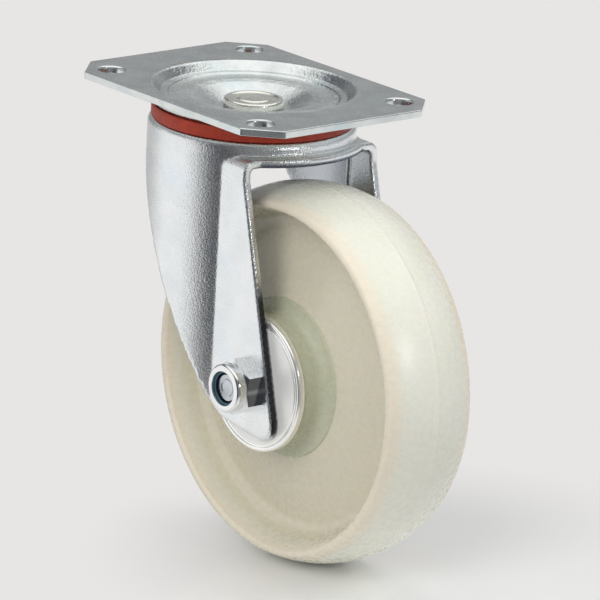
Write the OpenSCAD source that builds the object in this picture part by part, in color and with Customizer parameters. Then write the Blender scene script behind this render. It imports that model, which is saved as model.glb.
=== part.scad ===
// Swivel castor: a pressed-steel fork turns on two rings of balls under a bolted top
// plate and carries a solid polyamide wheel on a tube axle with a roller bearing.
// Millimetres. The origin is the centre of the plate's top face, on the swivel axis.
// +Z is up, X runs along the plate to the side that the wheel trails on, Y is the axle.

/* [Top plate] */
// Length of the plate, along X
plate_l = 105; // [101:1:120]
// Width of the plate, along Y
plate_w = 80; // [78:1:95]
// Thickness of the plate's sheet
plate_t = 2.5; // [2.2:0.1:3]
// Corner cut, along each side
plate_cut = 10.5; // [6:0.5:14]
// Distance between bolt holes along X
bolt_pitch_x = 80; // [78:1:84]
// Distance between bolt holes along Y
bolt_pitch_y = 60; // [59:1:62]
// Diameter of a bolt hole
bolt_hole_d = 9; // [7:0.5:10]

/* [Pressed recess of the plate] */
// Radius at which the recess leaves the flat of the plate
recess_r = 35.2; // [34.9:0.1:36]
// Radius of the bend at the recess's edge
recess_bend = 2; // [1.6:0.1:2.2]
// Radius of the bend at the foot of the recess's wall
recess_foot_r = 0.9; // [0.6:0.1:1.1]
// Depth of the recess's step ring
step_depth = 2.9; // [2.8:0.1:3]
// Width of the recess's wall, seen from above
wall_run = 3.1; // [2.9:0.1:3.4]
// Width of the step ring inside the wall
step_w = 2.8; // [2.3:0.1:3.1]
// Depth of the annulus over the balls
recess_depth = 3.4; // [3.2:0.1:3.6]
// Radius of the fine line where the middle dish starts
dish_r = 20.2; // [19.5:0.1:20.6]
// Height of that line
dish_line = 0.45; // [0.3:0.05:0.6]
// Depth of the middle dish, where the pin's head sits
dish_depth = 7.4; // [7:0.1:7.8]
// Width of the dish's flat bottom round the pin's head
dish_flat = 1.5; // [1:0.1:2.5]

/* [King pin] */
// Radius of the riveted head
pin_head_r = 10.3; // [9.5:0.1:11]
// Height of the riveted head over the dish
pin_head_h = 3.2; // [2.6:0.1:3.6]
// Radius of the head's rounded edge
pin_edge_r = 0.9; // [0.5:0.1:1.2]
// Outer radius of the ring struck in the head
pin_ring_r = 8.1; // [7.6:0.1:8.6]
// Width of that ring
pin_ring_w = 2.6; // [2:0.1:3.2]
// Depth of that ring
pin_ring_depth = 0.35; // [0.2:0.05:0.6]
// Radius of the shank in the plate
pin_r = 7; // [6:0.1:8]
// Radius of the shoulder between the plate and the lower race
pin_shoulder_r = 9; // [8.5:0.1:10]
// Radius of the lower head
pin_foot_r = 11; // [10:0.1:12]
// Height of the lower head
pin_foot_h = 3.2; // [2.5:0.1:3.4]
// Chamfer of the lower head
pin_foot_cut = 1.5; // [1:0.1:2]

/* [Ball races] */
// Diameter of an upper ball
upper_ball_d = 6.35; // [6:0.05:6.5]
// Radius of the upper ring of balls
upper_ring_r = 25; // [24.8:0.1:25.3]
// Depth of each upper race
upper_race_depth = 0.7; // [0.5:0.05:0.8]
// Diameter of a lower ball
lower_ball_d = 5; // [4.5:0.05:5.2]
// Radius of the lower ring of balls
lower_ring_r = 17.5; // [17.3:0.1:17.8]
// Depth of each lower race
lower_race_depth = 0.6; // [0.4:0.05:0.7]
// Sheet thickness of the lower race's cup
cup_t = 2.2; // [1.8:0.1:2.4]
// Outer bend radius of the cup
cup_bend = 1.5; // [1:0.1:2]
// Clearance between the lower balls and the cup's wall, and between that wall and the crown
cup_gap = 0.5; // [0.3:0.05:0.8]
// Running clearance of a ball in its race
ball_play = 0.05; // [0.02:0.01:0.08]
// Gap between neighbouring balls
ball_gap = 0.3; // [0.2:0.05:0.6]

/* [Fork] */
// Sheet thickness of the fork
fork_t = 3; // [2.5:0.1:3.5]
// Outer radius of the crown and of the legs' round part
crown_r = 35.5; // [35.1:0.1:36]
// Radius of the crown's drawn edge
crown_edge_r = 2.4; // [1.6:0.1:2.6]
// Hole in the crown for the king pin
crown_hole_r = 13; // [12:0.1:14]
// Height from the crown's top down to the top of the rear lip
lip_drop = 4.6; // [4.2:0.1:5]
// Radius of the rear lip
lip_r = 39; // [38:0.1:40]
// Distance from the middle to a leg's outer face
leg_y = 29; // [28.7:0.1:29.6]
// X of the leg's rear corner under the crown
ear_x = 32; // [31:0.1:33]
// Outer bend radius where a leg leaves the crown
ear_bend = 4.2; // [4:0.1:5]
// X of the leg's front edge under the crown
lead_x = -26; // [-27:0.5:-24]
// Length of the vertical rear edge below the lip
ear_drop = 4; // [2:0.5:6]
// Leg's end: distance from the axle down to the bottom edge, at the front
end_below = 15.5; // [14:0.5:18]
// Leg's end: how much lower the bottom edge is at the rear
end_drop = 2; // [0:0.5:3]
// Leg's end: distance from the axle back to the rear edge
end_behind = 14; // [12:0.5:15]
// Leg's end: corner radius at the rear
end_rear_r = 6; // [5:0.5:9]
// Leg's end: corner radius at the front
end_front_r = 14; // [12:0.5:15]
// Leg's end: distance from the axle forward to the front corner's centre
end_ahead = 8; // [6:0.5:10]

/* [Dust seal] */
// Outer radius of the seal
seal_r = 34.5; // [34.2:0.1:34.8]
// Inner radius of the seal
seal_inner_r = 29.6; // [29:0.1:30]
// Height of the seal's band
seal_h = 4.3; // [3.8:0.1:4.4]
// Thickness of the seal's lip
seal_lip_t = 0.9; // [0.7:0.1:1.2]
// Chamfer of the seal's edges
seal_cut = 0.4; // [0.2:0.1:0.6]
// Gap between the seal's lip and the plate
seal_gap = 0.4; // [0.3:0.05:0.6]

/* [Wheel] */
// Wheel diameter over the middle of the tread
wheel_d = 130; // [124:1:132]
// Width of the wheel at the rims
wheel_w = 36; // [34:0.5:38]
// Distance of the axle behind the swivel axis
trail = 38.5; // [37:0.5:41]
// Distance of the axle below the plate's top face
axle_drop = 90.5; // [90:0.5:96]
// Radius across the crowned tread
tread_r = 36; // [30:1:60]
// Radius of the rounding between the tread and the rim's lip
rim_edge_r = 2; // [1.5:0.1:3]
// Width of the flat on the rim's lip
lip_w = 0.3; // [0.1:0.1:1]
// Size of the bevel where the lip turns into the recess
lip_bevel = 0.9; // [0.5:0.1:1.5]
// Thickness of the rim at the web
rim_root = 10; // [8:0.5:11]
// Thickness of the web at the rim
web_t = 12; // [10:0.5:14]
// Thickness of the web at the hub
web_hub_t = 25; // [20:0.5:28]
// Fillet between the web and the rim
rim_fillet = 4; // [3:0.5:5]
// Fillet between the web and the hub
hub_fillet = 4.5; // [3:0.5:6]
// Radius of the hub
hub_r = 22.6; // [21.5:0.1:24]
// Gap between the hub's discs and the legs
hub_gap = 0.5; // [0.3:0.1:0.9]
// Diameter of the wheel's bore
bore_d = 20; // [19.5:0.5:20.5]
// Height of the moulding line round the tread
seam_h = 0.2; // [0.1:0.05:0.3]
// Width of the moulding line
seam_w = 0.9; // [0.5:0.1:1.4]

/* [Hub discs] */
// Thickness of a disc's sheet
disc_t = 1.2; // [0.9:0.1:1.5]
// Overall depth of a disc with its turned edge
disc_depth = 2.6; // [2:0.1:3.2]
// How far a disc stands out past the hub's surface
disc_over = 0.4; // [0.2:0.1:0.8]
// Outer radius of the disc's turned edge
disc_edge_r = 1.1; // [0.8:0.1:1.2]
// Gap between the disc and the axle tube
disc_gap = 0.5; // [0.3:0.1:1]

/* [Axle] */
// Diameter of the axle bolt
bolt_d = 10; // [9.5:0.1:10.2]
// Width across flats of the nut and of the bolt's head
hex_af = 17; // [16.8:0.1:18]
// Chamfer of the hexagons, along the corner
hex_cut = 1.4; // [0.8:0.1:1.8]
// Height of the bolt's head
head_h = 6.4; // [5.5:0.1:7]
// Chamfer of the bolt's end
bolt_cut = 1; // [0.5:0.1:1.5]
// Clearance of the bolt in the fork and in the tube
bolt_gap = 0.2; // [0.1:0.05:0.3]
// Outer diameter of the axle tube
tube_d = 15; // [14.8:0.1:15.2]
// Number of rollers
roller_count = 12; // [10:1:13]
// Running clearance of a roller
roller_play = 0.03; // [0.02:0.01:0.05]
// Length of a roller
roller_l = 38; // [34:1:40]
// Length of the cage past the rollers at each end
cage_end = 2; // [1.5:0.5:3]
// Radial thickness of the roller cage
cage_t = 1.7; // [1.4:0.1:1.8]
// Clearance of a roller in its pocket, along the roller
pocket_gap = 0.2; // [0.1:0.05:0.4]

/* [Lock nut] */
// Overall height of the nut
nut_h = 10; // [9.5:0.1:11]
// Height of the nut's hexagon
nut_hex_h = 6.4; // [5.5:0.1:7]
// Radius of the nut's round collar
nut_collar_r = 8.3; // [7.9:0.1:8.4]
// Radius of the collar's rounded edge
nut_edge_r = 1.2; // [0.8:0.1:1.6]
// Radius of the opening in the collar
nut_mouth_r = 5.9; // [5.6:0.1:6.2]
// Wall of the collar's rolled lip
nut_lip_t = 0.9; // [0.7:0.1:1.1]
// How far the bolt's end lies inside the nut's face
bolt_short = 2.6; // [2:0.1:3]

/* [Hidden] */

// Facets of a full circle
$fn = 96;
// Greatest angle between the points of a computed arc, in degrees
arc_step = 10;
// Overlap that makes a cut pass clear through a face
over = 1;
// How deep a straight edge runs into the round corner that it meets
blend = 0.02;
// Longer than any piece, for cuts and masks
far = 200;

// Step ring at the foot of the recess's wall
step_r = recess_r - wall_run;
step_inner_r = step_r - step_w;

// Heights down the swivel head
floor_under = -recess_depth - plate_t;
dish_under = -dish_depth - plate_t;
upper_ball_r = upper_ball_d / 2;
upper_ball_z = floor_under + upper_race_depth - ball_play - upper_ball_r;
crown_top = upper_ball_z - upper_ball_r - ball_play + upper_race_depth;
crown_under = crown_top - fork_t;
lower_ball_r = lower_ball_d / 2;
lower_ball_z = crown_under + lower_race_depth - ball_play - lower_ball_r;
race_top = lower_ball_z - lower_ball_r - ball_play + lower_race_depth;
race_under = race_top - cup_t;
lip_top = crown_top - lip_drop;
lip_under = lip_top - fork_t;

// Where the legs' round part meets the flat part, outside and inside the sheet
crown_inner_r = crown_r - fork_t;
leg_inner_y = leg_y - fork_t;
flat_x = sqrt(pow(crown_r, 2) - pow(leg_y, 2));
flat_inner_x = sqrt(pow(crown_inner_r, 2) - pow(leg_inner_y, 2));

// Leg's end
leg_bottom = -axle_drop - end_below;
rear_corner = [trail + end_behind - end_rear_r, leg_bottom - end_drop + end_rear_r];
front_corner = [trail - end_ahead, leg_bottom + end_front_r];

// Wheel and axle
wheel_r = wheel_d / 2;
half_w = wheel_w / 2;
bore_r = bore_d / 2;
bolt_r = bolt_d / 2;
tube_r = tube_d / 2;
hub_l = 2 * (leg_inner_y - hub_gap);
hub_half = hub_l / 2 - disc_t;
disc_r = hub_r + disc_over;
disc_grip_r = disc_r - disc_t;
roller_ring_r = (bore_r + tube_r) / 2;
roller_r = (bore_r - tube_r) / 2 - roller_play;

// Points of an arc about c from angle a0 to angle a1
function arc(c, r, a0, a1) =
    let (n = max(2, ceil(abs(a1 - a0) / arc_step)))
    [for (i = [0 : n]) let (a = a0 + (a1 - a0) * i / n) c + r * [cos(a), sin(a)]];

// Point where a line from p touches the circle about c, on its left (1) or right (-1)
function touch(p, c, r, side) =
    let (d = c - p, a = atan2(d[1], d[0]) + side * asin(r / norm(d)))
    p + sqrt(d * d - r * r) * [cos(a), sin(a)];

// Direction from which a straight edge touches both circles, the first on its left
function touch_both(c0, r0, c1, r1) =
    let (d = c1 - c0, a = atan2(d[1], d[0]) - acos((r0 - r1) / norm(d)))
    [cos(a), sin(a)];

// Mirror image of a profile about its first axis, in reverse order
function flipped(points) = [for (i = [len(points) - 1 : -1 : 0]) [points[i][0], -points[i][1]]];

// Puts a piece turned about its own Z on the axle, with +Z to the near side, -Y
module on_axle() {
    translate([trail, 0, -axle_drop]) rotate([90, 0, 0]) children();
}

module tube(r, inner_r, h) {
    difference() {
        cylinder(r = r, h = h);
        translate([0, 0, -over]) cylinder(r = inner_r, h = h + 2 * over);
    }
}

// Ring of balls, as many as fit with the gap between them
module ball_ring(ring_r, ball_r, z) {
    count = floor(180 / asin((ball_r + ball_gap / 2) / ring_r));
    for (i = [0 : count - 1])
        rotate([0, 0, i * 360 / count]) translate([ring_r, 0, z]) sphere(r = ball_r);
}

// Groove that a ring of balls runs in
module race_groove(ring_r, ball_r, z) {
    rotate_extrude() translate([ring_r, z]) circle(r = ball_r + ball_play);
}

// Section of the plate's pressed recess, from the pin's hole out to the flat
module recess_section() {
    edge = [recess_r, -recess_bend];
    foot = [step_r - recess_foot_r, recess_foot_r - step_depth];
    span = edge - foot;
    wall_a = atan2(span[1], span[0]) + asin((recess_bend + recess_foot_r) / norm(span));
    under_foot = arc(foot, recess_foot_r + plate_t, 270 + wall_a, 270);
    rise = recess_depth - step_depth;
    slope_in = [pin_head_r + dish_flat, -dish_depth];
    slope_out = [dish_r - dish_line, -recess_depth - dish_line];
    slope_a = atan2(slope_out[1] - slope_in[1], slope_out[0] - slope_in[0]);
    shift = plate_t * tan(slope_a / 2);
    polygon(concat(
        [[pin_r, -dish_depth], slope_in, slope_out, [dish_r, -recess_depth]],
        [[step_inner_r - rise, -recess_depth], [step_inner_r, -step_depth]],
        arc(foot, recess_foot_r, 270, 270 + wall_a),
        arc(edge, recess_bend, 90 + wall_a, 90),
        [[recess_r + 2 * over, 0], [recess_r + 2 * over, -plate_t]],
        [[under_foot[0][0] - (plate_t + under_foot[0][1]) / tan(wall_a), -plate_t]],
        under_foot,
        [[step_inner_r, -step_depth - plate_t], [step_inner_r - rise, floor_under]],
        [[slope_out[0] + shift, floor_under], [slope_in[0] + shift, dish_under]],
        [[pin_r, dish_under]]
    ));
}

module plate_outline() {
    x = plate_l / 2;
    y = plate_w / 2;
    c = plate_cut;
    polygon([[x, y - c], [x - c, y], [c - x, y], [-x, y - c],
        [-x, c - y], [c - x, -y], [x - c, -y], [x, c - y]]);
}

// Pressed sheet with a swivel recess, four bolt holes and the upper race under it
module top_plate() {
    color("silver")
    difference() {
        union() {
            difference() {
                translate([0, 0, -plate_t]) linear_extrude(plate_t) plate_outline();
                translate([0, 0, -plate_t - over]) cylinder(r = recess_r + over, h = plate_t + 2 * over);
            }
            rotate_extrude() recess_section();
        }
        for (x = [-1, 1], y = [-1, 1])
            translate([x * bolt_pitch_x / 2, y * bolt_pitch_y / 2, -plate_t - over])
                cylinder(d = bolt_hole_d, h = plate_t + 2 * over);
        race_groove(upper_ring_r, upper_ball_r, upper_ball_z);
    }
}

// Rivet that holds the swivel head together, with a struck ring in its upper head
module king_pin() {
    head_top = pin_head_h - dish_depth;
    foot_under = race_under - pin_foot_h;
    ring_in = pin_ring_r - pin_ring_w;
    color("gainsboro")
    rotate_extrude() polygon(concat(
        [[0, foot_under], [pin_foot_r - pin_foot_cut, foot_under]],
        [[pin_foot_r, foot_under + pin_foot_cut], [pin_foot_r, race_under], [pin_r, race_under]],
        [[pin_r, race_top], [pin_shoulder_r, race_top], [pin_shoulder_r, dish_under]],
        [[pin_r, dish_under], [pin_r, -dish_depth], [pin_head_r, -dish_depth]],
        arc([pin_head_r - pin_edge_r, head_top - pin_edge_r], pin_edge_r, 0, 90),
        [[pin_ring_r + pin_ring_depth, head_top], [pin_ring_r, head_top - pin_ring_depth]],
        [[ring_in, head_top - pin_ring_depth], [ring_in - pin_ring_depth, head_top], [0, head_top]]
    ));
}

module upper_balls() {
    color("dimgray") ball_ring(upper_ring_r, upper_ball_r, upper_ball_z);
}

module lower_balls() {
    color("dimgray") ball_ring(lower_ring_r, lower_ball_r, lower_ball_z);
}

// Pressed cup on the king pin, with the lower race and a wall round its balls
module lower_race() {
    wall_in = lower_ring_r + lower_ball_r + cup_gap;
    wall_out = wall_in + cup_t;
    wall_top = crown_under - cup_gap;
    color("lightslategray")
    difference() {
        rotate_extrude() polygon(concat(
            [[pin_r, race_under]],
            arc([wall_out - cup_bend, race_under + cup_bend], cup_bend, 270, 360),
            [[wall_out, wall_top], [wall_in, wall_top], [wall_in, race_top], [pin_r, race_top]]
        ));
        race_groove(lower_ring_r, lower_ball_r, lower_ball_z);
    }
}

// Leg seen from the side: X to the right, Z up
module leg_outline() {
    lead_top = [lead_x, lip_under];
    ear_foot = [ear_x, lip_under - ear_drop];
    down = touch_both(front_corner, end_front_r, rear_corner, end_rear_r);
    polygon([
        [lead_x, crown_top], lead_top,
        touch(lead_top, front_corner, end_front_r - blend, -1),
        front_corner,
        front_corner + (end_front_r - blend) * down, rear_corner + (end_rear_r - blend) * down,
        rear_corner,
        touch(ear_foot, rear_corner, end_rear_r - blend, 1),
        ear_foot, [ear_x, crown_top]
    ]);
    translate(front_corner) circle(r = end_front_r);
    translate(rear_corner) circle(r = end_rear_r);
}

// Sheet section of the crown with the round skirt that the legs are cut from
module crown_section() {
    edge = [crown_r - crown_edge_r, crown_top - crown_edge_r];
    difference() {
        union() {
            translate([crown_hole_r, crown_under]) square([crown_r - crown_hole_r - over, fork_t]);
            translate([crown_inner_r, leg_bottom - end_drop - over])
                square([fork_t, crown_top - leg_bottom + end_drop + over]);
        }
        difference() {
            translate(edge) square(2 * crown_edge_r);
            translate(edge) circle(r = crown_edge_r);
        }
    }
}

// Everything below the lip that is not round leg
module round_leg_cuts() {
    slope = (flat_x - flat_inner_x) / fork_t;
    edge_x = flat_inner_x + slope * (far - leg_inner_y);
    translate([0, 0, lip_under - far]) linear_extrude(far)
        polygon([[far, -far], [edge_x, -far], [flat_inner_x, -leg_inner_y],
            [flat_inner_x, leg_inner_y], [edge_x, far], [far, far]]);
    rotate([90, 0, 0]) translate([0, 0, -far]) linear_extrude(2 * far) difference() {
        translate([-far, lip_under - far]) square([2 * far, far]);
        leg_outline();
    }
}

// Outline of an arch with rounded shoulders, open at the bottom
module arch(y, top, bend) {
    difference() {
        translate([-y, -far]) square([2 * y, far + top]);
        for (side = [-1, 1]) difference() {
            translate([side * y, top]) square(2 * bend, center = true);
            translate([side * (y - bend), top - bend]) circle(r = bend);
        }
    }
}

// Flat legs with their rounded shoulders, cut to the leg's outline
module flat_legs() {
    intersection() {
        translate([flat_inner_x, 0, 0]) rotate([90, 0, 90]) linear_extrude(far) difference() {
            arch(leg_y, lip_top, ear_bend);
            arch(leg_inner_y, lip_under, ear_bend - fork_t);
        }
        rotate([90, 0, 0]) translate([0, 0, -far]) linear_extrude(2 * far) leg_outline();
    }
}

// Rear lip of the crown
module rear_lip() {
    translate([0, 0, lip_under]) linear_extrude(fork_t) intersection() {
        circle(r = lip_r);
        translate([0, -leg_inner_y]) square([far, 2 * leg_inner_y]);
    }
}

// One pressed sheet: crown, rear lip, and two legs that are round in front and flat behind
module fork() {
    color("lightgray")
    difference() {
        union() {
            difference() {
                rotate_extrude() crown_section();
                round_leg_cuts();
            }
            difference() {
                union() {
                    flat_legs();
                    rear_lip();
                }
                translate([0, 0, lip_under - far / 2])
                    cylinder(r = crown_inner_r + fork_t / 2, h = far / 2 + 2 * fork_t);
            }
        }
        race_groove(upper_ring_r, upper_ball_r, upper_ball_z);
        race_groove(lower_ring_r, lower_ball_r, lower_ball_z);
        on_axle() cylinder(r = bolt_r + bolt_gap, h = far, center = true);
    }
}

// Moulded ring on the crown: a band with a soft lip up to the plate
module dust_seal() {
    band_top = crown_top + seal_h;
    lip_in = seal_inner_r + seal_lip_t;
    lip_end = floor_under - seal_gap;
    color("orangered")
    rotate_extrude() polygon([
        [seal_inner_r, crown_top], [seal_r, crown_top], [seal_r, band_top - seal_cut],
        [seal_r - seal_cut, band_top], [lip_in + seal_lip_t + seal_cut, band_top],
        [lip_in + seal_lip_t, lip_end], [lip_in, lip_end], [seal_inner_r, band_top - seal_cut]
    ]);
}

// Half of the wheel's section: distance from the axle, then along the axle
function wheel_half() =
    let (
        crown = [wheel_r - tread_r, 0],
        edge_y = half_w - rim_edge_r,
        edge_x = crown[0] + sqrt(pow(tread_r - rim_edge_r, 2) - pow(edge_y, 2)),
        edge_a = atan2(edge_y, edge_x - crown[0]),
        seam_a = asin(seam_w / 2 / tread_r),
        grip_y = hub_l / 2 - disc_depth,
        lip = [edge_x - lip_w - lip_bevel, half_w - lip_bevel],
        root = [wheel_r - rim_root, web_t / 2],
        wall_a = atan2(lip[1] - root[1], lip[0] - root[0]),
        web = [hub_r + hub_fillet, web_hub_t / 2],
        web_a = atan2(web[1] - root[1], root[0] - web[0])
    )
    concat(
        [[bore_r, hub_half], [disc_grip_r, hub_half], [disc_grip_r, grip_y], [hub_r, grip_y]],
        arc(web + [0, hub_fillet], hub_fillet, 180, 270 - web_a),
        arc(root + [-rim_fillet, rim_fillet], rim_fillet, 270 - web_a, 270 + wall_a),
        [lip, lip + [lip_bevel, lip_bevel]],
        arc([edge_x, edge_y], rim_edge_r, 90, edge_a),
        arc(crown, tread_r, edge_a, seam_a)
    );

// Moulded wheel: crowned tread with a fine moulding line, rim lips, sloping web and hub
module wheel() {
    color("ivory")
    on_axle() rotate_extrude()
        polygon(concat(wheel_half(), [[wheel_r + seam_h, 0]], flipped(wheel_half())));
}

// Drawn steel cap on the end of the hub, on the +Z side of the axle frame
module hub_disc() {
    face = hub_l / 2;
    hole_r = tube_r + disc_gap;
    color("whitesmoke")
    rotate_extrude() polygon(concat(
        [[hole_r, face - disc_t], [hole_r, face]],
        arc([disc_r - disc_edge_r, face - disc_edge_r], disc_edge_r, 90, 0),
        [[disc_r, face - disc_depth], [disc_grip_r, face - disc_depth]],
        [[disc_grip_r, face - disc_t]]
    ));
}

module hub_disc_near() {
    on_axle() hub_disc();
}

module hub_disc_far() {
    on_axle() mirror([0, 0, 1]) hub_disc();
}

// Tube clamped between the legs, which the rollers run on
module axle_tube() {
    color("darkgray")
    on_axle() translate([0, 0, -leg_inner_y]) tube(tube_r, bolt_r + bolt_gap, 2 * leg_inner_y);
}

// Places the rollers' axes round the tube
module round_tube() {
    for (i = [0 : roller_count - 1])
        rotate([0, 0, i * 360 / roller_count]) translate([roller_ring_r, 0, 0]) children();
}

// Rollers between the tube and the bore
module rollers() {
    color("lightsteelblue")
    on_axle() round_tube() cylinder(r = roller_r, h = roller_l, center = true);
}

// Moulded cage with one pocket for each roller
module roller_cage() {
    half = roller_l / 2 + cage_end;
    color("darkolivegreen")
    on_axle() difference() {
        translate([0, 0, -half])
            tube(roller_ring_r + cage_t / 2, roller_ring_r - cage_t / 2, 2 * half);
        round_tube()
            cylinder(r = roller_r + roller_play, h = roller_l + 2 * pocket_gap, center = true);
    }
}

// Hexagon from z 0 up to h, with chamfered corners on its upper end
module hexagon(h) {
    r = hex_af / 2 / cos(30);
    intersection() {
        rotate([0, 0, 30]) cylinder(r = r, h = h, $fn = 6);
        rotate_extrude() polygon([[0, 0], [r + over, 0],
            [r + over, h - (hex_cut + over) * tan(30)], [r - hex_cut, h], [0, h]]);
    }
}

// Axle bolt, with its head on the far leg and its end inside the nut
module axle_bolt() {
    end_z = leg_y + nut_h - bolt_short;
    color("lightgray")
    on_axle() union() {
        rotate_extrude() polygon([[0, -leg_y], [bolt_r, -leg_y], [bolt_r, end_z - bolt_cut],
            [bolt_r - bolt_cut, end_z], [0, end_z]]);
        translate([0, 0, -leg_y]) mirror([0, 0, 1]) hexagon(head_h);
    }
}

// Nut with a hexagon, and a round collar rolled in over its insert
module lock_nut() {
    color("whitesmoke")
    on_axle() translate([0, 0, leg_y]) difference() {
        union() {
            hexagon(nut_hex_h);
            rotate_extrude() polygon(concat(
                [[0, nut_hex_h - over], [nut_collar_r, nut_hex_h - over]],
                arc([nut_collar_r - nut_edge_r, nut_h - nut_edge_r], nut_edge_r, 0, 90),
                [[nut_mouth_r, nut_h], [0, nut_h]]
            ));
        }
        translate([0, 0, -over]) cylinder(r = bolt_r, h = nut_h + 2 * over);
        translate([0, 0, nut_hex_h])
            cylinder(r = nut_collar_r - nut_lip_t, h = nut_h - nut_hex_h - nut_lip_t);
        translate([0, 0, nut_hex_h]) cylinder(r = nut_mouth_r, h = nut_h - nut_hex_h + over);
    }
}

// Plastic ring in the nut's collar
module nut_insert() {
    color("darkcyan")
    on_axle() translate([0, 0, leg_y + nut_hex_h])
        tube(nut_collar_r - nut_lip_t, bolt_r, nut_h - nut_hex_h - nut_lip_t);
}

top_plate();
king_pin();
upper_balls();
lower_balls();
lower_race();
fork();
dust_seal();
wheel();
hub_disc_near();
hub_disc_far();
axle_tube();
roller_cage();
rollers();
axle_bolt();
lock_nut();
nut_insert();
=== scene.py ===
# Looks of the swivel castor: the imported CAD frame, dressed with finer meshes and materials.
# Metres, in the frame of the part: origin at the centre of the plate's top face, +Z up,
# +X to the side that the wheel trails on, -Y to the side of the lock nut.
import math

import bmesh
import bpy
import numpy as np
from mathutils import Matrix, Vector

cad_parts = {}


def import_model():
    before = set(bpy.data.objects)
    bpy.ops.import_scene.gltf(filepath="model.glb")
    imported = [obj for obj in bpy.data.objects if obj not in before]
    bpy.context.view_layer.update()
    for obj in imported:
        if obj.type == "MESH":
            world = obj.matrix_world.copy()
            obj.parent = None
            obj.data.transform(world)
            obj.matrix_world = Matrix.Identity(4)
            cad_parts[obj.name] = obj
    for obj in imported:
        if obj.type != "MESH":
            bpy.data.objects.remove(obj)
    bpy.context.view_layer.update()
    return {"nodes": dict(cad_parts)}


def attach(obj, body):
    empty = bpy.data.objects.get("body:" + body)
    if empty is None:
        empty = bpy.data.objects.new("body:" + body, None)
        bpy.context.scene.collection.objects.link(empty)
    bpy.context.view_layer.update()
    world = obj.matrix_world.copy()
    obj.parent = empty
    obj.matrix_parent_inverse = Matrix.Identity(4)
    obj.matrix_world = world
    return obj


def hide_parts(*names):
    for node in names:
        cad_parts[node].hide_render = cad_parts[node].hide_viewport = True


MM = 0.001
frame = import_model()
nodes = frame["nodes"]

# Sizes of the part in millimetres, as in its source
AXLE = Vector((38.5, 0, -90.5))
FLOOR_Z = -155.75


# Meshes

def mesh_object(name, verts, faces, smooth=True):
    mesh = bpy.data.meshes.new(name)
    mesh.from_pydata([tuple(c * MM for c in v) for v in verts], [], faces)
    mesh.validate()
    bm = bmesh.new()
    bm.from_mesh(mesh)
    bmesh.ops.remove_doubles(bm, verts=bm.verts, dist=1e-6)
    bmesh.ops.recalc_face_normals(bm, faces=bm.faces)
    bm.to_mesh(mesh)
    bm.free()
    if smooth:
        mesh.polygons.foreach_set("use_smooth", [True] * len(mesh.polygons))
    obj = bpy.data.objects.new(name, mesh)
    bpy.context.scene.collection.objects.link(obj)
    return obj


def smooth_by_angle(obj, degrees):
    mesh = obj.data
    bm = bmesh.new()
    bm.from_mesh(mesh)
    limit = math.radians(degrees)
    for edge in bm.edges:
        sharp = len(edge.link_faces) != 2 or edge.calc_face_angle(0) > limit
        edge.smooth = not sharp
    for face in bm.faces:
        face.smooth = True
    bm.to_mesh(mesh)
    bm.free()


def arc(cx, cy, r, a0, a1, n):
    return [(cx + r * math.cos(math.radians(a0 + (a1 - a0) * i / n)),
             cy + r * math.sin(math.radians(a0 + (a1 - a0) * i / n))) for i in range(n + 1)]


def rounded(points, radii, n=5, closed=True):
    """A profile with each corner replaced by an arc of the radius given for it."""
    out = []
    count = len(points)
    for i, p in enumerate(points):
        r = radii[i] if isinstance(radii, (list, tuple)) else radii
        if r <= 0 or (not closed and i in (0, count - 1)):
            out.append(p)
            continue
        p = Vector(p)
        a = (Vector(points[i - 1]) - p)
        b = (Vector(points[(i + 1) % count]) - p)
        half = a.angle(b) / 2
        reach = min(r / math.tan(half), a.length * 0.49, b.length * 0.49)
        r = reach * math.tan(half)
        start, end = p + a.normalized() * reach, p + b.normalized() * reach
        centre = p + (a.normalized() + b.normalized()).normalized() * (r / math.sin(half))
        u, v = start - centre, end - centre
        turn = u.angle_signed(v)
        for k in range(n + 1):
            angle = -turn * k / n
            c, s = math.cos(angle), math.sin(angle)
            out.append((centre[0] + u[0] * c - u[1] * s, centre[1] + u[0] * s + u[1] * c))
    return out


def lathe(name, profile, segments=160, closed=True, place=None):
    """Turns a profile of (radius, height) about Z. Place maps a point to the part's frame."""
    verts, faces = [], []
    count = len(profile)
    for k in range(segments):
        angle = 2 * math.pi * k / segments
        c, s = math.cos(angle), math.sin(angle)
        for r, z in profile:
            verts.append(Vector((r * c, r * s, z)))
    spans = count if closed else count - 1
    for k in range(segments):
        here, there = k * count, ((k + 1) % segments) * count
        for i in range(spans):
            j = (i + 1) % count
            faces.append((here + i, there + i, there + j, here + j))
    if place:
        verts = [place(v) for v in verts]
    return mesh_object(name, verts, faces)


def on_axle(v):
    """From the axle's own frame, with Z to the near side, to the part's frame."""
    return Vector((AXLE.x + v.x, AXLE.y - v.z, AXLE.z + v.y))


# Materials

def linear(r, g, b):
    def one(c):
        c /= 255
        return c / 12.92 if c <= 0.04045 else ((c + 0.055) / 1.055) ** 2.4
    return (one(r), one(g), one(b), 1)


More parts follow.
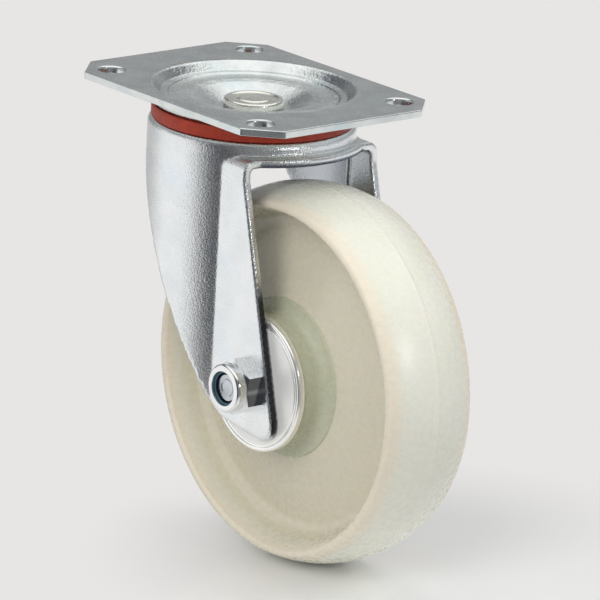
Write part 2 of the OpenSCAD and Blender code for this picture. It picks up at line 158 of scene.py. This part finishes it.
class WorldNodes:
    """Short calls for building a node tree."""

    def __init__(self, tree):
        self.tree = tree
        self.coords = self.add("ShaderNodeTexCoord").outputs["Generated"]

    def add(self, kind, **values):
        node = self.tree.nodes.new(kind)
        for key, value in values.items():
            setattr(node, key, value)
        return node

    def link(self, a, b):
        self.tree.links.new(a, b)

    def put(self, socket, value):
        if isinstance(value, bpy.types.NodeSocket):
            self.link(value, socket)
        else:
            socket.default_value = value

    def ramp(self, value, low, high, out_low=0.0, out_high=1.0):
        node = self.add("ShaderNodeMapRange", interpolation_type="SMOOTHSTEP")
        self.put(node.inputs["Value"], value)
        for key, number in (("From Min", low), ("From Max", high),
                            ("To Min", out_low), ("To Max", out_high)):
            node.inputs[key].default_value = number
        return node.outputs["Result"]

    def math(self, operation, a, b=0.0):
        node = self.add("ShaderNodeMath", operation=operation)
        self.put(node.inputs[0], a)
        self.put(node.inputs[1], b)
        return node.outputs[0]

    def mix(self, factor, a, b):
        node = self.add("ShaderNodeMix", data_type="RGBA")
        self.put(node.inputs["Factor"], factor)
        self.put(node.inputs["A"], a)
        self.put(node.inputs["B"], b)
        return node.outputs["Result"]


class Nodes(WorldNodes):
    """The same for a material, with its textures and its shader."""

    def __init__(self, name):
        self.material = bpy.data.materials.new(name)
        self.material.use_nodes = True
        self.tree = self.material.node_tree
        self.shader = self.tree.nodes["Principled BSDF"]
        self.spots = self.add("ShaderNodeTexCoord")
        self.coords = self.spots.outputs["Object"]

    def axes(self, vector):
        split = self.add("ShaderNodeSeparateXYZ")
        self.link(vector, split.inputs[0])
        return [split.outputs[axis] for axis in "XYZ"]

    def from_axle(self):
        """Distance from the wheel's axle, in metres."""
        x, _, z = self.axes(self.coords)
        x, z = self.math("SUBTRACT", x, AXLE.x * MM), self.math("SUBTRACT", z, AXLE.z * MM)
        squares = self.math("ADD", self.math("MULTIPLY", x, x), self.math("MULTIPLY", z, z))
        return self.math("SQRT", squares)

    def stretch(self, scale):
        node = self.add("ShaderNodeMapping")
        node.inputs["Scale"].default_value = scale
        self.link(self.coords, node.inputs["Vector"])
        return node.outputs["Vector"]

    def noise(self, size_mm, detail=4, rough=0.55, vector=None):
        node = self.add("ShaderNodeTexNoise")
        self.link(vector or self.coords, node.inputs["Vector"])
        node.inputs["Scale"].default_value = 1000 / size_mm
        node.inputs["Detail"].default_value = detail
        node.inputs["Roughness"].default_value = rough
        return node.outputs["Fac"]

    def bump(self, height, distance_mm, strength=1.0, normal=None):
        node = self.add("ShaderNodeBump")
        self.put(node.inputs["Height"], height)
        node.inputs["Distance"].default_value = distance_mm * MM
        node.inputs["Strength"].default_value = strength
        if normal:
            self.link(normal, node.inputs["Normal"])
        return node.outputs["Normal"]

    def set(self, **sockets):
        names = {"color": "Base Color", "rough": "Roughness", "metal": "Metallic",
                 "normal": "Normal", "subsurface": "Subsurface Weight",
                 "radius": "Subsurface Radius", "scale": "Subsurface Scale",
                 "ior": "IOR", "specular": "Specular IOR Level"}
        for key, value in sockets.items():
            self.put(self.shader.inputs[names[key]], value)
        return self.material


def worn_metal(name, dark, light, rough, peel_mm, peel, scratch=0.25, tint=None, shade=None, drawn=None):
    """Zinc or steel: faint clouds, fine grain, light scratches and an orange-peel bump. Shade paints shade
    and dark reflections into the colour by place, and drawn gives where the peel is coarse."""
    n = Nodes(name)
    color = n.mix(n.ramp(n.noise(11, 4, 0.6), 0.3, 0.7, 0.15, 0.85), dark, light)
    if tint:
        color = n.mix(n.ramp(n.noise(17, 2, 0.5), 0.5, 0.72, 0, 0.45), color, tint)
    specks = n.ramp(n.noise(0.5, 2, 0.5), 0.7, 0.78, 0, 0.5)
    color = n.mix(specks, color, linear(78, 76, 74))
    # Painted shade and dark reflections, from the shade function where one is given.
    if shade:
        color = shade(n, color)
    streaks = n.ramp(n.noise(1.4, 6, 0.7, n.stretch((0.1, 2.2, 0.5))), 0.58, 0.75, 0, scratch * 0.4)
    grain = n.noise(0.35, 4, 0.65)
    roughness = n.math("ADD", n.ramp(grain, 0.3, 0.7, rough - 0.05, rough + 0.05), streaks)
    small = n.bump(grain, 0.012, 0.6)
    skin = n.noise(peel_mm, 3, 0.55)
    if drawn:
        where = drawn(n)
        skin = n.math("MULTIPLY", skin, where)
        small = n.bump(n.math("MULTIPLY", n.noise(6, 2), where), 0.22, 1.0, small)
    normal = n.bump(skin, peel, 1.0, small)
    return n.set(color=color, rough=roughness, metal=1.0, normal=normal)


def plastic(name, dark, light, rough, size_mm, bump_mm=0.02, **extra):
    n = Nodes(name)
    color = n.mix(n.ramp(n.noise(size_mm, 4), 0.3, 0.7), dark, light)
    roughness = n.ramp(n.noise(1.2, 4), 0.3, 0.7, rough - 0.06, rough + 0.06)
    normal = n.bump(n.noise(0.5, 3), bump_mm, 0.6)
    return n.set(color=color, rough=roughness, normal=normal, **extra)


def fork_painted_shade(n, color):
    """Painted shade and dark reflections on the fork: a painted dark reflection on the legs' cut rear
    edges, and painted shade on the fork's inside, under the crown and on the lower part of the crown's rim
    over the wheel, all darker than its drawn outside. Places are in metres, in the frame of the part."""
    leg_from, leg_full = -0.05, -0.062
    inside_from, inside_full = -0.008, -0.018
    crown_from, crown_full = -0.04, -0.03
    rim_top, rim_full, rim_end = -0.0168, -0.0176, -0.0225
    rim_half, rim_x = 0.021, 0.03
    nx, ny, nz = n.axes(n.spots.outputs["Normal"])
    x, y, z = n.axes(n.coords)
    low = n.ramp(z, leg_full, leg_from, 1, 0)
    edge = n.math("MULTIPLY", n.ramp(nx, 0.7, 0.9), low)
    inward = n.ramp(n.math("MULTIPLY", ny, y), inside_full, inside_from, 1, 0)
    below = n.math("MULTIPLY", n.ramp(nz, -0.7, -0.25, 1, 0), n.ramp(z, crown_from, crown_full))
    # Painted shade on the fork's inside, on faces turned towards the wheel.
    color = n.mix(n.math("MULTIPLY", inward, 0.45), color, linear(84, 92, 112))
    # Painted shade under the crown.
    color = n.mix(n.math("MULTIPLY", below, 0.8), color, linear(52, 62, 92))
    # Painted shade on the lower part of the crown's rim over the wheel, between the legs.
    between_legs = n.ramp(n.math("ABSOLUTE", y), rim_half, rim_half + 0.003, 1, 0)
    rear = n.ramp(x, rim_x - 0.01, rim_x)
    band = n.math("MULTIPLY", n.ramp(z, rim_full, rim_top, 1, 0), n.ramp(z, rim_end, rim_end + 0.0005))
    rim = n.math("MULTIPLY", band, n.math("MULTIPLY", between_legs, rear))
    color = n.mix(n.math("MULTIPLY", rim, 0.85), color, linear(48, 58, 88))
    # Painted dark reflection on the legs' cut rear edges, low on the legs.
    return n.mix(n.math("MULTIPLY", edge, 0.96), color, linear(22, 24, 30))


def drawn_recess(n):
    """The peel is coarse where the plate is drawn and faint on its flat border."""
    drawn_r, flat_r = 0.0345, 0.037
    x, y, _ = n.axes(n.coords)
    square = n.math("ADD", n.math("MULTIPLY", x, x), n.math("MULTIPLY", y, y))
    return n.ramp(n.math("SQRT", square), drawn_r, flat_r, 1, 0.12)


def painted_dark_flat(n, color):
    """Painted dark reflection on one of the nut's six flats, the one that faces +X."""
    collar_r, hexagon_r = 0.0083, 0.0086
    nx, _, _ = n.axes(n.spots.outputs["Normal"])
    flat = n.math("MULTIPLY", n.ramp(nx, 0.7, 0.85), n.ramp(n.from_axle(), collar_r, hexagon_r))
    # Painted dark reflection on the flat facing +X.
    return n.mix(n.math("MULTIPLY", flat, 0.85), color, linear(52, 50, 54))


def insert_ring():
    """Dark moulded ring with a painted teal highlight line where its lip catches the light."""
    line_in, line_out, blur = 0.00525, 0.0056, 0.0002
    n = Nodes("insert")
    away = n.from_axle()
    color = n.mix(n.noise(1.5, 3), linear(12, 16, 24), linear(20, 30, 42))
    inner, outer = n.ramp(away, line_in - blur, line_in), n.ramp(away, line_out, line_out + blur, 1, 0)
    # Painted teal highlight line on the lip.
    line = n.math("MULTIPLY", inner, outer)
    return n.set(color=n.mix(line, color, linear(62, 112, 128)), rough=0.35,
                 normal=n.bump(n.noise(0.5, 3), 0.02, 0.6))


def drawn_disc():
    """Pale satin zinc on the disc's face, brighter and more polished on its rolled edge."""
    face_r, bead_from = 0.0204, 0.0212
    n = Nodes("disc")
    away = n.from_axle()
    color = n.mix(n.ramp(n.noise(9, 4, 0.6), 0.3, 0.7), linear(250, 250, 247), linear(254, 254, 252))
    grain = n.noise(0.5, 4, 0.65)
    rough = n.math("ADD", n.ramp(away, face_r, bead_from, 0.42, 0.2), n.ramp(grain, 0.3, 0.7, -0.03, 0.03))
    return n.set(color=color, rough=rough, metal=n.ramp(away, face_r, bead_from, 0.3, 0.85),
                 normal=n.bump(grain, 0.006, 0.6))


def polyamide():
    """Natural polyamide: slightly translucent, with faint mottling, a painted warm glow of light through
    the rim's lip, painted shade in the dish inside the rim and painted shade, darker and greener, on the
    hub."""
    lip_glow_from, lip_glow_full = 0.0115, 0.0168
    dish_shade_r, hub_shade_r = 0.0575, 0.0278
    n = Nodes("polyamide")
    mottle = n.noise(2.4, 5, 0.6)
    drift = n.noise(28, 2)
    color = n.mix(n.ramp(drift, 0.35, 0.65), linear(231, 232, 218), linear(235, 235, 223))
    away = n.from_axle()
    _, y, _ = n.axes(n.coords)
    # Painted warm glow on the rim's lips, standing in for light scattered through them.
    lip = n.ramp(n.math("ABSOLUTE", y), lip_glow_from, lip_glow_full)
    color = n.mix(n.math("MULTIPLY", lip, 0.8), color, linear(236, 225, 205))
    # Painted shade in the dish inside the rim.
    color = n.mix(n.ramp(away, dish_shade_r, dish_shade_r - 0.0025, 0, 0.75), color, linear(216, 208, 185))
    # Painted shade on the hub, darker and greener.
    color = n.mix(n.ramp(away, hub_shade_r, hub_shade_r - 0.001), color, linear(196, 198, 174))
    color = n.mix(n.ramp(mottle, 0.35, 0.7, 0, 0.08), color, linear(221, 214, 190))
    roughness = n.ramp(mottle, 0.3, 0.7, 0.24, 0.31)
    normal = n.bump(drift, 0.15, 0.5)
    return n.set(color=color, rough=roughness, normal=normal, subsurface=0.2,
                 radius=(1.0, 0.8, 0.5), scale=0.003, ior=1.52)


M = {
    "zinc_plate": worn_metal("zinc_plate", linear(196, 202, 201), linear(226, 229, 227), 0.24, 0.9, 0.16,
                             tint=linear(198, 216, 222), drawn=drawn_recess),
    "zinc_fork": worn_metal("zinc_fork", linear(224, 227, 228), linear(238, 240, 240), 0.26, 0.6, 0.13,
                            tint=linear(220, 232, 240), shade=fork_painted_shade),
    "rivet": worn_metal("rivet", linear(214, 214, 206), linear(238, 238, 228), 0.24, 1.8, 0.2),
    "ball": worn_metal("ball", linear(170, 172, 174), linear(190, 192, 194), 0.12, 1, 0.003, 0.1),
    "tube": worn_metal("tube", linear(170, 170, 170), linear(190, 190, 190), 0.26, 1, 0.005),
    "bolt_end": worn_metal("bolt_end", linear(150, 158, 166), linear(212, 216, 220), 0.26, 1.6, 0.12, 0.3),
    "bolt": worn_metal("bolt", linear(226, 228, 229), linear(240, 241, 241), 0.12, 1.2, 0.01, 0.2,
                       shade=painted_dark_flat),
    "seal": plastic("seal", linear(158, 52, 34), linear(174, 60, 38), 0.5, 3, specular=0.45),
    "cage": plastic("cage", linear(66, 68, 50), linear(88, 90, 66), 0.45, 3),
    "insert": insert_ring(),
    "disc": drawn_disc(),
    "polyamide": polyamide(),
}


def dress(obj, material):
    obj.data.materials.clear()
    obj.data.materials.append(M[material])


def piece(obj, body, material, slot, *replaced):
    dress(obj, material)
    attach(obj, body)
    if replaced:
        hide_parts(*replaced)
    return obj


# Wheel: crowned tread with its moulding line, rim lips, sloping web and hub

def wheel_profile():
    wheel_r, tread_r, rim_r, half = 65.0, 36.0, 2.0, 18.0
    hub_end, disc_seat = 24.3, 22.9
    foot_r, root_r, seam = 4.2, 4.0, 0.06
    crown = wheel_r - tread_r
    edge_y = half - rim_r
    edge_x = crown + math.sqrt((tread_r - rim_r) ** 2 - edge_y ** 2)
    edge_a = math.degrees(math.atan2(edge_y, edge_x - crown))
    lip = (edge_x - 1.2, half - 0.9)
    root = (55.0, 6.0)
    wall_a = math.degrees(math.atan2(lip[1] - root[1], lip[0] - root[0]))
    web = (27.1, 12.5)
    web_a = math.degrees(math.atan2(web[1] - root[1], root[0] - web[0]))
    seam_a = math.degrees(math.asin(0.35 / tread_r))
    side = [(10.0, hub_end), (21.8, hub_end), (21.8, disc_seat), (22.25, disc_seat)]
    side += [(22.6, disc_seat - 0.35)]
    side += arc(22.6 + foot_r, 17.4, foot_r, 180, 262, 10)
    side += rounded([side[-1], (26.95, 13.15), (27.2, 12.45), (28.5, 12.15)],
                    [0, 0.3, 0.25, 0], 4, closed=False)[1:]
    side += arc(root[0] - root_r, root[1] + root_r, root_r, 270 - web_a, 270 + wall_a, 14)
    side += rounded([side[-1], lip, (lip[0] + 0.9, lip[1] + 0.9), (edge_x, half)],
                    [0, 0.5, 0.35, 0], 4, closed=False)[1:-1]
    side += arc(edge_x, edge_y, rim_r, 90, edge_a, 8)
    side += arc(crown, 0, tread_r, edge_a, seam_a, 16)[1:]
    other = [(x, -y) for x, y in reversed(side)]
    return side + [(wheel_r + seam, 0.15), (wheel_r + seam, -0.15)] + other


wheel = lathe("wheel_moulding", wheel_profile(), 224, place=on_axle)
smooth_by_angle(wheel, 38)
piece(wheel, "rolling_wheel", "polyamide", "polyamide", "wheel")


# Hub discs: drawn caps with a rolled edge

def disc_profile():
    face, seat = 25.5, 22.9
    bead_r, bead_x = 0.95, 22.55
    bead = arc(bead_x, face - bead_r, bead_r, 142, 0, 10)
    groove = arc(21.35, face + 0.35, 0.6, 216, 312, 6)
    rim = [(bead_x + bead_r, seat + 0.15), (bead_x + bead_r - 0.15, seat), (21.8, seat), (21.8, face - 1.2)]
    return [(8.0, face - 1.2), (8.0, face - 0.15), (8.15, face)] + groove + bead + rim


for side, name in ((1, "near"), (-1, "far")):
    disc = lathe("hub_cap_" + name, [(r, side * z) for r, z in disc_profile()], 160, place=on_axle)
    smooth_by_angle(disc, 40)
    piece(disc, "rolling_wheel", "disc", "disc_steel", "hub_disc_" + name)


# Dust seal

seal = lathe("seal_ring", rounded(
    [(29.6, -10.95), (34.5, -10.95), (34.5, -6.5), (33.7, -6.5), (33.2, -7.6), (31.4, -7.6), (31.1, -6.4),
     (30.6, -6.4), (29.6, -7.6)],
    [0, 0.3, 0.45, 0.2, 0.4, 0.4, 0.2, 0.2, 0.2], 4), 160)
smooth_by_angle(seal, 50)
piece(seal, "swivel_fork", "seal", "seal_red", "dust_seal")


# Top plate: flat with rounded edges and holes, joined to a turned recess

PLATE_T = 2.5
TURN = 160
RECESS_RIM = 36.2
RECESS_FLOOR, RECESS_FLOOR_UNDER = -7.4, -9.9
HOLE_R, HOLE_MOUTH, HOLE_MOUTH_UNDER, HOLE_EDGE = 4.5, 5.3, 4.7, 0.8


def circle(x, y, r, count, phase=0.0):
    return [(x + r * math.cos(2 * math.pi * (k + phase) / count),
             y + r * math.sin(2 * math.pi * (k + phase) / count)) for k in range(count)]


def inset_loop(points, distance):
    out = []
    for i, p in enumerate(points):
        a, b = Vector(points[i - 1]), Vector(points[(i + 1) % len(points)])
        along = (b - a).normalized()
        out.append((p[0] - along.y * distance, p[1] + along.x * distance))
    return out


def recess_top():
    wall_a, bend_r, foot_r = 46.5, 2, 0.9
    bend = arc(RECESS_RIM - 1, -bend_r, bend_r, 90, 90 + wall_a, 10)
    foot = arc(31.2, -2, foot_r, 270 + wall_a, 270, 6)
    inner = rounded([(30.9, -2.9), (29.3, -2.9), (28.7, -3.5), (26.0, -3.2), (22.5, -3.3), (20.2, -3.75),
                     (19.8, -3.85), (12.4, RECESS_FLOOR), (10.0, RECESS_FLOOR)],
                    [0, 0.6, 0.7, 6, 8, 0.15, 0.4, 3, 0], 7, closed=False)
    return [(RECESS_RIM, 0)] + bend + foot + inner


def recess_under():
    return rounded([(10.0, RECESS_FLOOR_UNDER), (12.9, RECESS_FLOOR_UNDER), (21.2, -5.9), (28.8, -5.9),
                    (29.3, -5.4), (30.4, -5.4), (31.2, -6.0), (34.9, -6.0), (34.9, -PLATE_T),
                    (RECESS_RIM, -PLATE_T)],
                   [0, 2, 1.5, 0.5, 0.5, 0.5, 0.5, 1.6, 0.6, 0], 7, closed=False)


def plate_mesh():
    cut, x, y, corner_r = 10.5, 52.5, 40.0, 1.2
    corners = [(x, cut - y), (x, y - cut), (x - cut, y), (cut - x, y),
               (-x, y - cut), (-x, cut - y), (cut - x, -y), (x - cut, -y)]
    outline = rounded(corners, corner_r, 5)
    verts, faces = [], []

    def strip(rings):
        first = len(verts)
        for ring in rings:
            verts.extend(ring)
        count = len(rings[0])
        for level in range(len(rings) - 1):
            for k in range(count):
                j = (k + 1) % count
                a, b = first + level * count, first + (level + 1) * count
                faces.append((a + k, a + j, b + j, b + k))

    edge = [(0.4 - 0.4 * math.sin(a), 0.4 * math.cos(a) - 0.4) for a in np.radians([0, 22, 45, 67, 90])]
    edge += [(0, -PLATE_T + 0.25), (0.08, -PLATE_T + 0.08), (0.25, -PLATE_T)]
    strip([[(px, py, z) for px, py in inset_loop(outline, d)] for d, z in edge])
    hole = [(HOLE_MOUTH - HOLE_EDGE * math.sin(a), HOLE_EDGE * math.cos(a) - HOLE_EDGE)
            for a in np.radians([0, 15, 30, 45, 60, 75, 90])]
    hole += [(HOLE_R, -PLATE_T + 0.2), (HOLE_R + 0.06, -PLATE_T + 0.06), (HOLE_MOUTH_UNDER, -PLATE_T)]
    spots = [(40 * sx, 30 * sy) for sx in (-1, 1) for sy in (-1, 1)]
    for hx, hy in spots:
        strip([[(px, py, z) for px, py in circle(hx, hy, r, 48)] for r, z in hole])
    obj = mesh_object("plate_sheet", verts, faces)
    bm = bmesh.new()
    bm.from_mesh(obj.data)
    for z, mouth, margin in ((0, HOLE_MOUTH, 0.4), (-PLATE_T, HOLE_MOUTH_UNDER, 0.25)):
        rim = []
        loops = [inset_loop(outline, margin), circle(0, 0, RECESS_RIM, TURN)]
        loops += [circle(hx, hy, mouth, 48) for hx, hy in spots]
        for loop in loops:
            vs = [bm.verts.new((px * MM, py * MM, z * MM)) for px, py in loop]
            rim += [bm.edges.new((vs[i - 1], vs[i])) for i in range(len(vs))]
        bmesh.ops.triangle_fill(bm, use_beauty=True, edges=rim)
    bmesh.ops.remove_doubles(bm, verts=bm.verts, dist=2e-6)
    bm.to_mesh(obj.data)
    bm.free()
    return obj


def joined(name, *parts):
    """One mesh from several that share their boundary points."""
    bm = bmesh.new()
    for part in parts:
        bm.from_mesh(part.data)
        bpy.data.objects.remove(part)
    bmesh.ops.remove_doubles(bm, verts=bm.verts, dist=5e-6)
    bmesh.ops.recalc_face_normals(bm, faces=bm.faces)
    mesh = bpy.data.meshes.new(name)
    bm.to_mesh(mesh)
    bm.free()
    obj = bpy.data.objects.new(name, mesh)
    bpy.context.scene.collection.objects.link(obj)
    return obj


def even_normals(obj):
    modifier = obj.modifiers.new("normals", "WEIGHTED_NORMAL")
    modifier.keep_sharp = True
    modifier.weight = 80


plate = joined("plate_pressing", plate_mesh(),
               lathe("recess", recess_top(), TURN, closed=False),
               lathe("recess_under", recess_under(), TURN, closed=False))
smooth_by_angle(plate, 50)
even_normals(plate)
piece(plate, "plate", "zinc_plate", "zinc_plate", "top_plate")


# King pin: upper head with its struck ring, shank and lower head

def pin_profile():
    race, race_under, foot = -17.85, -20.05, -23.25
    head = rounded([(7.0, RECESS_FLOOR), (10.3, RECESS_FLOOR), (10.3, -4.2), (8.5, -4.2), (8.0, -4.55),
                    (5.7, -4.5), (5.2, -4.2), (0.0, -4.15)],
                   [0, 0.3, 1.0, 0.2, 0.3, 0.3, 0.3, 0], 5, closed=False)
    end = rounded([(0, foot), (9.5, foot), (11, foot + 1.5), (11, race_under)],
                  [0, 0.4, 0.4, 0], 4, closed=False)
    shank = [(7, race_under), (7, race), (9, race), (9, RECESS_FLOOR_UNDER), (7, RECESS_FLOOR_UNDER)]
    return [(0.0, foot)] + end[1:] + shank + head


pin = lathe("rivet_pin", pin_profile(), 96, closed=False)
smooth_by_angle(pin, 50)
piece(pin, "plate", "rivet", "rivet_steel", "king_pin")


# Fork: the pressed sheet with its creases softened as a press leaves them

def drawn_sheet(source, voxel_mm, rounds):
    mesh = source.data.copy()
    bm = bmesh.new()
    bm.from_mesh(mesh)
    bmesh.ops.remove_doubles(bm, verts=bm.verts, dist=1e-6)
    bm.to_mesh(mesh)
    bm.free()
    obj = bpy.data.objects.new("fork_pressing", mesh)
    bpy.context.scene.collection.objects.link(obj)
    remesh = obj.modifiers.new("voxels", "REMESH")
    remesh.mode = "VOXEL"
    remesh.voxel_size = voxel_mm * MM
    smooth = obj.modifiers.new("smooth", "SMOOTH")
    smooth.factor = 0.5
    smooth.iterations = rounds
    graph = bpy.context.evaluated_depsgraph_get()
    done = bpy.data.meshes.new_from_object(obj.evaluated_get(graph))
    obj.modifiers.clear()
    obj.data = done
    done.polygons.foreach_set("use_smooth", [True] * len(done.polygons))
    return obj


fork = drawn_sheet(nodes["fork"], 0.62, 4)
piece(fork, "swivel_fork", "zinc_fork", "zinc_fork", "fork")


# Nut's plastic ring with its lip, and the chamfered end of the bolt inside it

def insert_profile():
    inner_r, outer_r, back, front = 5.0, 7.4, 35.4, 38.1
    return rounded([(inner_r, back), (inner_r, 37.5), (5.2, 38.05), (5.6, 37.75), (5.85, front),
                    (outer_r, front), (outer_r, back)],
                   [0, 0.1, 0.2, 0.3, 0.1, 0, 0], 4)


def tip_profile():
    bolt_r, back, front = 4.9, 36.2, 37.2
    face = rounded([(bolt_r, 36.4), (4.5, front), (3.2, front), (2.6, 36.9), (0.0, 36.9)],
                   [0, 0.2, 0.2, 0.3, 0], 4, closed=False)
    return [(0.0, back), (bolt_r, back), (bolt_r, 36.4)] + face[1:]


ring = lathe("insert_ring", insert_profile(), 96, place=on_axle)
smooth_by_angle(ring, 50)
piece(ring, "swivel_fork", "insert", "insert_nylon", "nut_insert")

tip = lathe("bolt_end", tip_profile(), 96, closed=False, place=on_axle)
smooth_by_angle(tip, 50)
piece(tip, "swivel_fork", "bolt_end", "bolt_steel")


# Plain looks of the nodes that stay as the frame has them

for node, material in (("upper_balls", "ball"), ("lower_balls", "ball"), ("lower_race", "zinc_plate"),
                       ("axle_tube", "tube"), ("roller_cage", "cage"), ("rollers", "tube"),
                       ("axle_bolt", "bolt_end"), ("lock_nut", "bolt")):
    dress(nodes[node], material)

for node, width in (("lock_nut", 0.2), ("axle_bolt", 0.2), ("lower_race", 0.3)):
    bevel = nodes[node].modifiers.new("edges", "BEVEL")
    bevel.width = width * MM
    bevel.segments = 3
    bevel.limit_method = "ANGLE"
    bevel.angle_limit = math.radians(32)
    bevel.harden_normals = True


# Studio: a pale floor, soft lamps, a light world and the camera

BACKDROP = (0.80, 0.79, 0.776, 1)
BOUNCE = (0.22, 0.22, 0.218, 1)
SHADE = (0.0, 0.003, 0.014, 1)
WHITE = (1, 1, 1, 1)
AMBIENT = (0.3, 0.3, 0.297, 1)
OVERHEAD = (1.3, 1.3, 1.3, 1)
GAP_MIDDLE, GAP_SIDES = (0.2, 0.21, 0.225, 1), (0.05, 0.055, 0.075, 1)


def studio_side(n, vector, far):
    """What polished metal sees round the horizon, by compass direction. Far is the side behind the part."""
    left_box, dark_front, dim_front, behind = 1.06, 0.05, 0.22, 0.65 * far
    steps = ((-168, -152, left_box - behind), (-106, -92, dark_front - left_box),
             (-66, -50, dim_front - dark_front), (5, 25, far - dim_front), (130, 168, behind - far))
    split = n.add("ShaderNodeSeparateXYZ")
    n.link(vector, split.inputs[0])
    turn = n.math("ARCTAN2", split.outputs["Y"], split.outputs["X"])
    level = behind
    for low, high, change in steps:
        level = n.math("ADD", level, n.ramp(turn, math.radians(low), math.radians(high), 0, change))
    return n.mix(level, SHADE, WHITE)


def blended(n, factor, first, second):
    node = n.add("ShaderNodeMixShader")
    n.link(factor, node.inputs["Fac"])
    n.link(first, node.inputs[1])
    n.link(second, node.inputs[2])
    return node.outputs[0]


def glowing(n, color):
    node = n.add("ShaderNodeEmission")
    n.link(color, node.inputs["Color"])
    return node.outputs[0]


def floor():
    """A pale floor that takes the part's shade near its foot and goes over into the backdrop. Metal sees
    the studio's sides in it."""
    shade_spot, shade_r, backdrop_r = (0.035, 0.03, 0), 0.045, 0.13
    mirror_from, mirror_full, mirror_level = 0.08, 0.2, 0.92
    reach = 4000
    n = Nodes("floor")
    n.set(color=linear(246, 246, 246), rough=0.12, specular=0.6,
          normal=n.bump(n.noise(3, 2), 0.01, 0.2))
    rays = n.add("ShaderNodeLightPath")
    away = n.add("ShaderNodeVectorMath", operation="LENGTH")
    n.link(n.coords, away.inputs[0])
    shade = n.add("ShaderNodeVectorMath", operation="DISTANCE")
    n.link(n.coords, shade.inputs[0])
    shade.inputs[1].default_value = shade_spot
    backdrop = glowing(n, n.mix(rays.outputs["Is Diffuse Ray"], BACKDROP, BOUNCE))
    far = n.ramp(shade.outputs["Value"], shade_r, backdrop_r)
    seen = glowing(n, studio_side(n, n.coords, mirror_level))
    near = n.ramp(away.outputs["Value"], mirror_from, mirror_full)
    mirror = n.math("MULTIPLY", near, rays.outputs["Is Glossy Ray"])
    shown = blended(n, mirror, blended(n, far, n.shader.outputs[0], backdrop), seen)
    n.link(shown, n.tree.nodes["Material Output"].inputs["Surface"])
    corners = [(x * reach, y * reach, 0) for x, y in ((-1, -1), (1, -1), (1, 1), (-1, 1))]
    obj = mesh_object("floor", corners, [(0, 1, 2, 3)], smooth=False)
    obj.location = (AXLE.x * MM, 0, FLOOR_Z * MM)
    obj.data.materials.append(n.material)
    return obj


floor()


def lamp(name, place, aim, width, height, watts):
    data = bpy.data.lights.new(name, "AREA")
    data.shape = "RECTANGLE"
    data.size, data.size_y = width, height
    data.energy = watts
    obj = bpy.data.objects.new(name, data)
    place, aim = Vector(place), Vector(aim)
    turn = (place - aim).to_track_quat("Z", "Y").to_matrix().to_4x4()
    obj.matrix_world = Matrix.Translation(place) @ turn
    bpy.context.scene.collection.objects.link(obj)
    return obj


# The strip alone shows as a highlight on the tread; the others only light the part
MIDDLE = (0.01, 0, -0.08)
lamp("lamp_strip", (1.05, 0.08, 0.32), MIDDLE, 0.09, 0.2, 1.0)
for name, place, size, watts in (("lamp_top", (0.05, 0.05, 1.1), 0.8, 2.0),
                                 ("lamp_back", (0.55, 0.7, 0.75), 0.7, 4.4),
                                 ("lamp_right", (0.82, 0.38, 0.7), 0.5, 0.6),
                                 ("lamp_side", (1.05, -0.5, 0.15), 0.5, 0.5),
                                 ("lamp_corner", (0.48, -0.76, 0.72), 0.5, 2.0),
                                 ("lamp_front", (0.35, -0.95, 0.35), 0.5, 2.8),
                                 ("lamp_low", (0.63, -0.99, 0.2), 0.5, 1.8),
                                 ("lamp_far", (-1.0, 0.25, 0.4), 0.8, 2.5)):
    lamp(name, place, MIDDLE, size, size, watts).visible_glossy = False


def world():
    """Light from all round for the part, and for its metal a bright ceiling over the studio's sides."""
    toward = math.radians(130)
    side_far, side_top, gap_low = 0.4, 0.38, 0.5
    ceiling_low, ceiling_high, lean = 0.66, 0.78, 0.33
    w = bpy.data.worlds.new("studio")
    bpy.context.scene.world = w
    w.use_nodes = True
    n = WorldNodes(w.node_tree)
    split = n.add("ShaderNodeSeparateXYZ")
    n.link(n.coords, split.inputs[0])
    x, y, z = (split.outputs[axis] for axis in "XYZ")
    c, s = math.cos(toward), math.sin(toward)
    along = n.math("ADD", n.math("MULTIPLY", x, c), n.math("MULTIPLY", y, s))
    across = n.math("SUBTRACT", n.math("MULTIPLY", y, c), n.math("MULTIPLY", x, s))
    gap = n.mix(n.ramp(n.math("ABSOLUTE", across), 0.35, 0.75), GAP_MIDDLE, GAP_SIDES)
    middle = n.mix(n.ramp(z, side_top, gap_low), studio_side(n, n.coords, side_far), gap)
    rise = n.math("MULTIPLY", n.math("POWER", n.math("MAXIMUM", along, 0), 3), lean)
    high = n.mix(n.ramp(n.math("ADD", z, rise), ceiling_low, ceiling_high), middle, OVERHEAD)
    rays = n.add("ShaderNodeLightPath")
    plain = n.mix(rays.outputs["Is Glossy Ray"], AMBIENT, high)
    shown = n.mix(rays.outputs["Is Camera Ray"], plain, BACKDROP)
    n.link(shown, n.tree.nodes["Background"].inputs["Color"])


world()


def camera():
    azimuth, elevation, roll = (math.radians(a) for a in (50.26, 16.37, 2.965))
    focal, distance = 6000.0, 2.042
    target = Vector((0, 0, -0.075))
    shown_at = (243.5, 298.7)
    back = Vector((math.sin(azimuth) * math.cos(elevation),
                   -math.cos(azimuth) * math.cos(elevation), math.sin(elevation)))
    right = (-back).cross(Vector((0, 0, 1))).normalized()
    up = right.cross(-back)
    r = math.cos(roll) * right + math.sin(roll) * up
    u = -math.sin(roll) * right + math.cos(roll) * up
    place = target + back * distance
    step = distance / focal
    centre = target + r * (300 - shown_at[0]) * step - u * (300 - shown_at[1]) * step
    back = (place - centre).normalized()
    r = (r - back * r.dot(back)).normalized()
    u = back.cross(r)
    data = bpy.data.cameras.new("camera")
    data.sensor_width = 36
    data.lens = focal / 600 * 36
    data.clip_start, data.clip_end = 0.1, 20
    obj = bpy.data.objects.new("camera", data)
    obj.matrix_world = Matrix(((r.x, u.x, back.x, place.x), (r.y, u.y, back.y, place.y),
                               (r.z, u.z, back.z, place.z), (0, 0, 0, 1)))
    bpy.context.scene.collection.objects.link(obj)
    bpy.context.scene.camera = obj


camera()
bpy.context.scene.view_settings.view_transform = "Standard"
